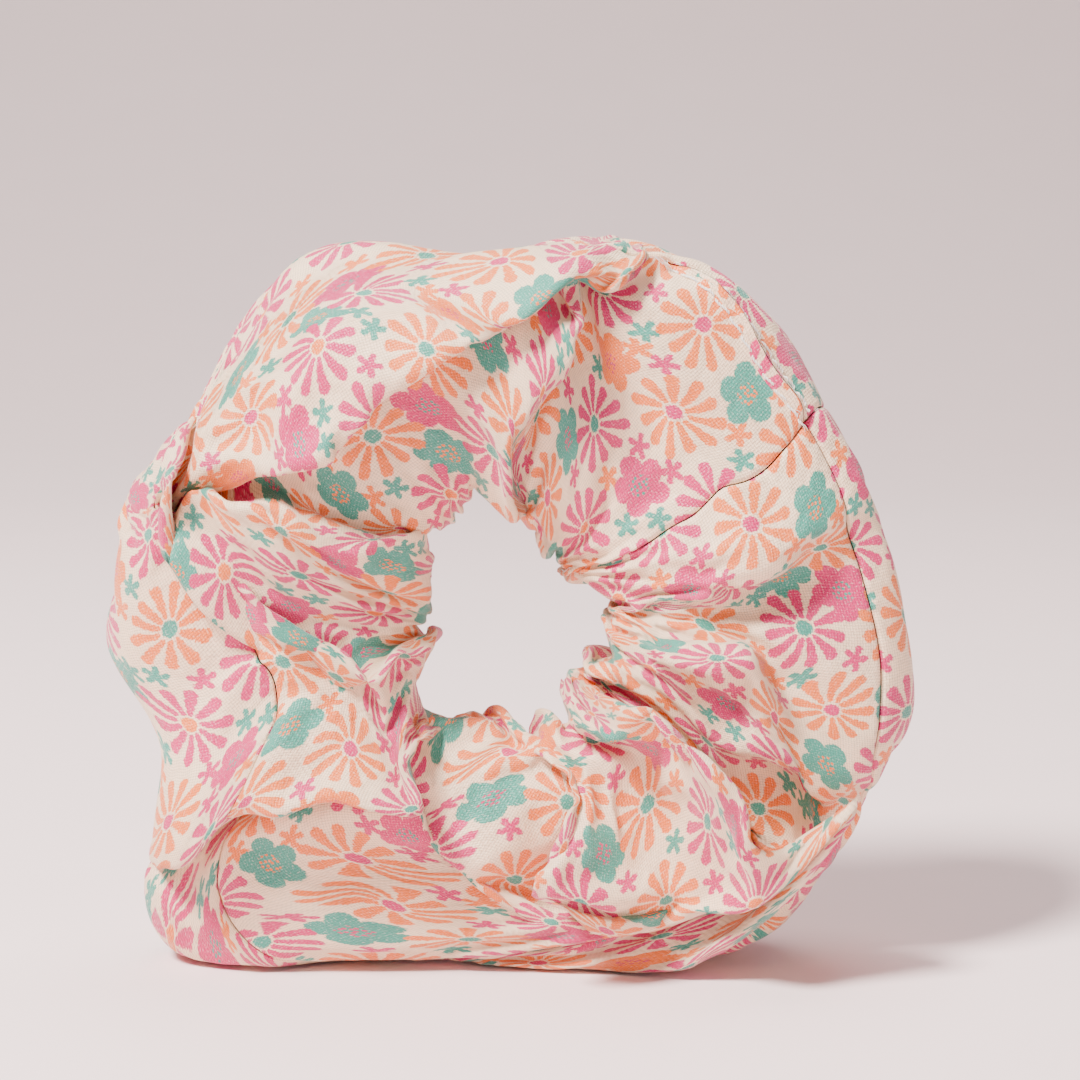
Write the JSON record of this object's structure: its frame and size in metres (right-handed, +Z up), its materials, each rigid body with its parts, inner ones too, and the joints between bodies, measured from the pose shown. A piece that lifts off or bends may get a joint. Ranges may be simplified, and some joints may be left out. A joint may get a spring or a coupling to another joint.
{
  "type": "hair scrunchie",
  "caption": "Gathered cloth ring on a hidden elastic loop, standing on its edge; the loop stretches sideways to go round a bunch of hair.",
  "frame": {"origin": "middle of the outline's box, on the surface that the ring stands on", "axes": "+Z up, +X to the right seen from the front and along the stretch, -Y out of the front face, through the hair opening"},
  "size_m": [0.1199, 0.0414, 0.108],
  "materials": {
    "printed_cloth": "satin-faced plain weave with a small printed flower pattern",
    "elastic": "matt white braided flat elastic",
    "thread": "soft twisted sewing thread"
  },
  "bodies": {
    "held_side": {"sleeve_held_half": "printed_cloth", "elastic_loop": "elastic", "elastic_tack_thread": "thread", "long_seam_thread_held_half": "thread"},
    "pulled_side": {"sleeve_pulled_half": "printed_cloth", "closing_needle_thread": "thread", "closing_bobbin_thread": "thread", "long_seam_thread_pulled_half": "thread", "cross_seam_thread": "thread"}
  },
  "joints": [
    {"name": "stretch", "type": "slide", "parent": "held_side", "child": "pulled_side", "axis": [1, 0, 0], "range_m": [0, 0.06], "stiffness_N_per_m": 90, "deforming": ["elastic_loop"]}
  ]
}
